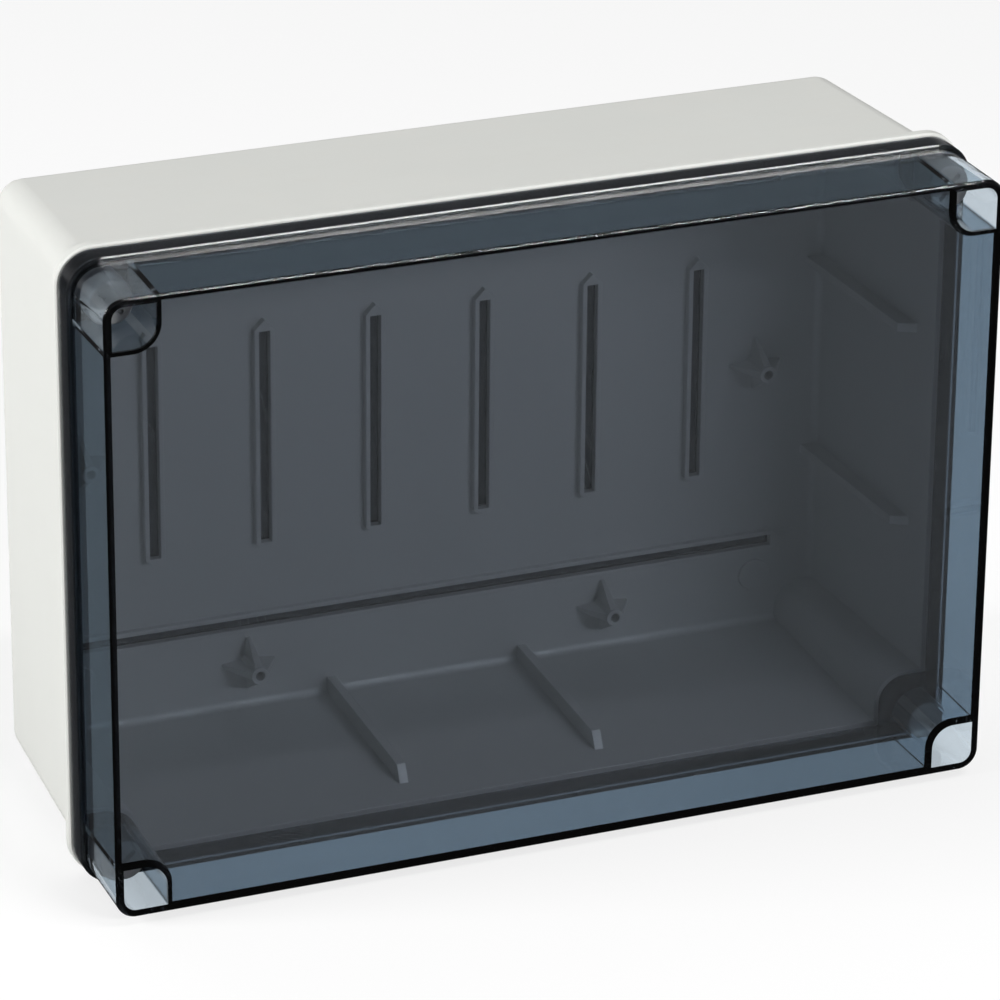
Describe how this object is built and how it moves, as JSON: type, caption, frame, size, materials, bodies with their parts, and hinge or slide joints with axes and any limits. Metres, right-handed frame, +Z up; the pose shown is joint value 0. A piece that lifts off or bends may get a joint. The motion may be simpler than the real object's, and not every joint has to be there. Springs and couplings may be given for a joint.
{
  "type": "junction box",
  "caption": "Rectangular wall junction box with a grey drafted base, a deep smoked clear lid held by corner screws in open wells, and a rubber rim gasket.",
  "frame": {"origin": "centre of the flat back face that rests on the wall", "axes": "+X across the width, +Y into the wall, +Z up; the lid faces -Y"},
  "size_m": [0.3, 0.12, 0.21],
  "materials": {
    "grey_shell": "fine matt moulded, light grey",
    "smoked_clear": "polished, smoked clear",
    "black_rubber": "soft matt",
    "screw_plastic": "satin moulded, light grey",
    "spring_steel": "bright",
    "insert_brass": "turned"
  },
  "bodies": {
    "base": {"base_shell": "grey_shell", "screw_insert_1": "insert_brass", "screw_insert_2": "insert_brass", "screw_insert_3": "insert_brass", "screw_insert_4": "insert_brass"},
    "lid": {"clear_lid": "smoked_clear", "rim_gasket": "black_rubber", "screw_seal_1": "black_rubber", "screw_seal_2": "black_rubber", "screw_seal_3": "black_rubber", "screw_seal_4": "black_rubber"},
    "screw_1": {"lid_screw_1": "screw_plastic", "screw_clip_1": "spring_steel"},
    "screw_2": {"lid_screw_2": "screw_plastic", "screw_clip_2": "spring_steel"},
    "screw_3": {"lid_screw_3": "screw_plastic", "screw_clip_3": "spring_steel"},
    "screw_4": {"lid_screw_4": "screw_plastic", "screw_clip_4": "spring_steel"}
  },
  "joints": [
    {"name": "lid_lift_off", "type": "slide", "parent": "base", "child": "lid", "axis": [0, -1, 0], "range_m": [0, 0.12]},
    {"name": "screw_1_turn", "type": "hinge", "parent": "lid", "child": "screw_1", "pos_m": [-0.1377, -0.101, 0.0927], "axis": [0, 1, 0], "range_deg": [0, 90]},
    {"name": "screw_2_turn", "type": "hinge", "parent": "lid", "child": "screw_2", "pos_m": [0.1377, -0.101, 0.0927], "axis": [0, 1, 0], "range_deg": [0, 90]},
    {"name": "screw_3_turn", "type": "hinge", "parent": "lid", "child": "screw_3", "pos_m": [0.1377, -0.101, -0.0927], "axis": [0, 1, 0], "range_deg": [0, 90]},
    {"name": "screw_4_turn", "type": "hinge", "parent": "lid", "child": "screw_4", "pos_m": [-0.1377, -0.101, -0.0927], "axis": [0, 1, 0], "range_deg": [0, 90]}
  ]
}
